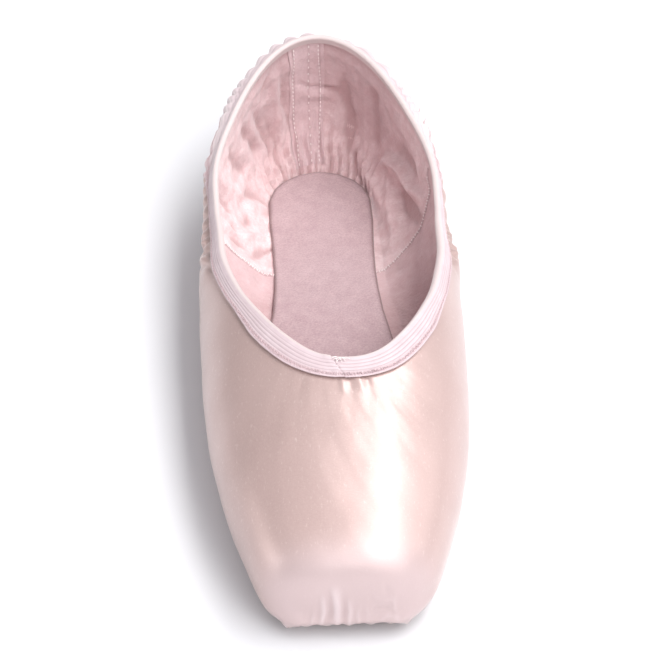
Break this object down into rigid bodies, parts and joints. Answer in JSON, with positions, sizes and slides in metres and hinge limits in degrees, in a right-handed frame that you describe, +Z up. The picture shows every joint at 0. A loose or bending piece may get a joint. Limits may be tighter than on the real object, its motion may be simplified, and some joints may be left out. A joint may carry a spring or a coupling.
{
  "type": "pointe shoe",
  "caption": "Ballet pointe shoe with a stiff satin toe box, flat platform, soft quarters, elastic collar binding and a leather outsole, standing empty.",
  "frame": {"origin": "on the floor below the middle of the shoe's box", "axes": "+Z up, -Y towards the toe platform, +Y towards the heel, +X to the right when looking from the toe"},
  "size_m": [0.0844, 0.235, 0.0548],
  "materials": {
    "satin": "smooth peach-pink satin over a stiffened box",
    "leather": "matt natural leather, buffed",
    "suede": "dull pink suede-like covering",
    "elastic": "ribbed elastic tape"
  },
  "bodies": {
    "root": {"upper": "satin", "outsole": "leather", "insole": "suede", "binding": "elastic"}
  },
  "joints": []
}
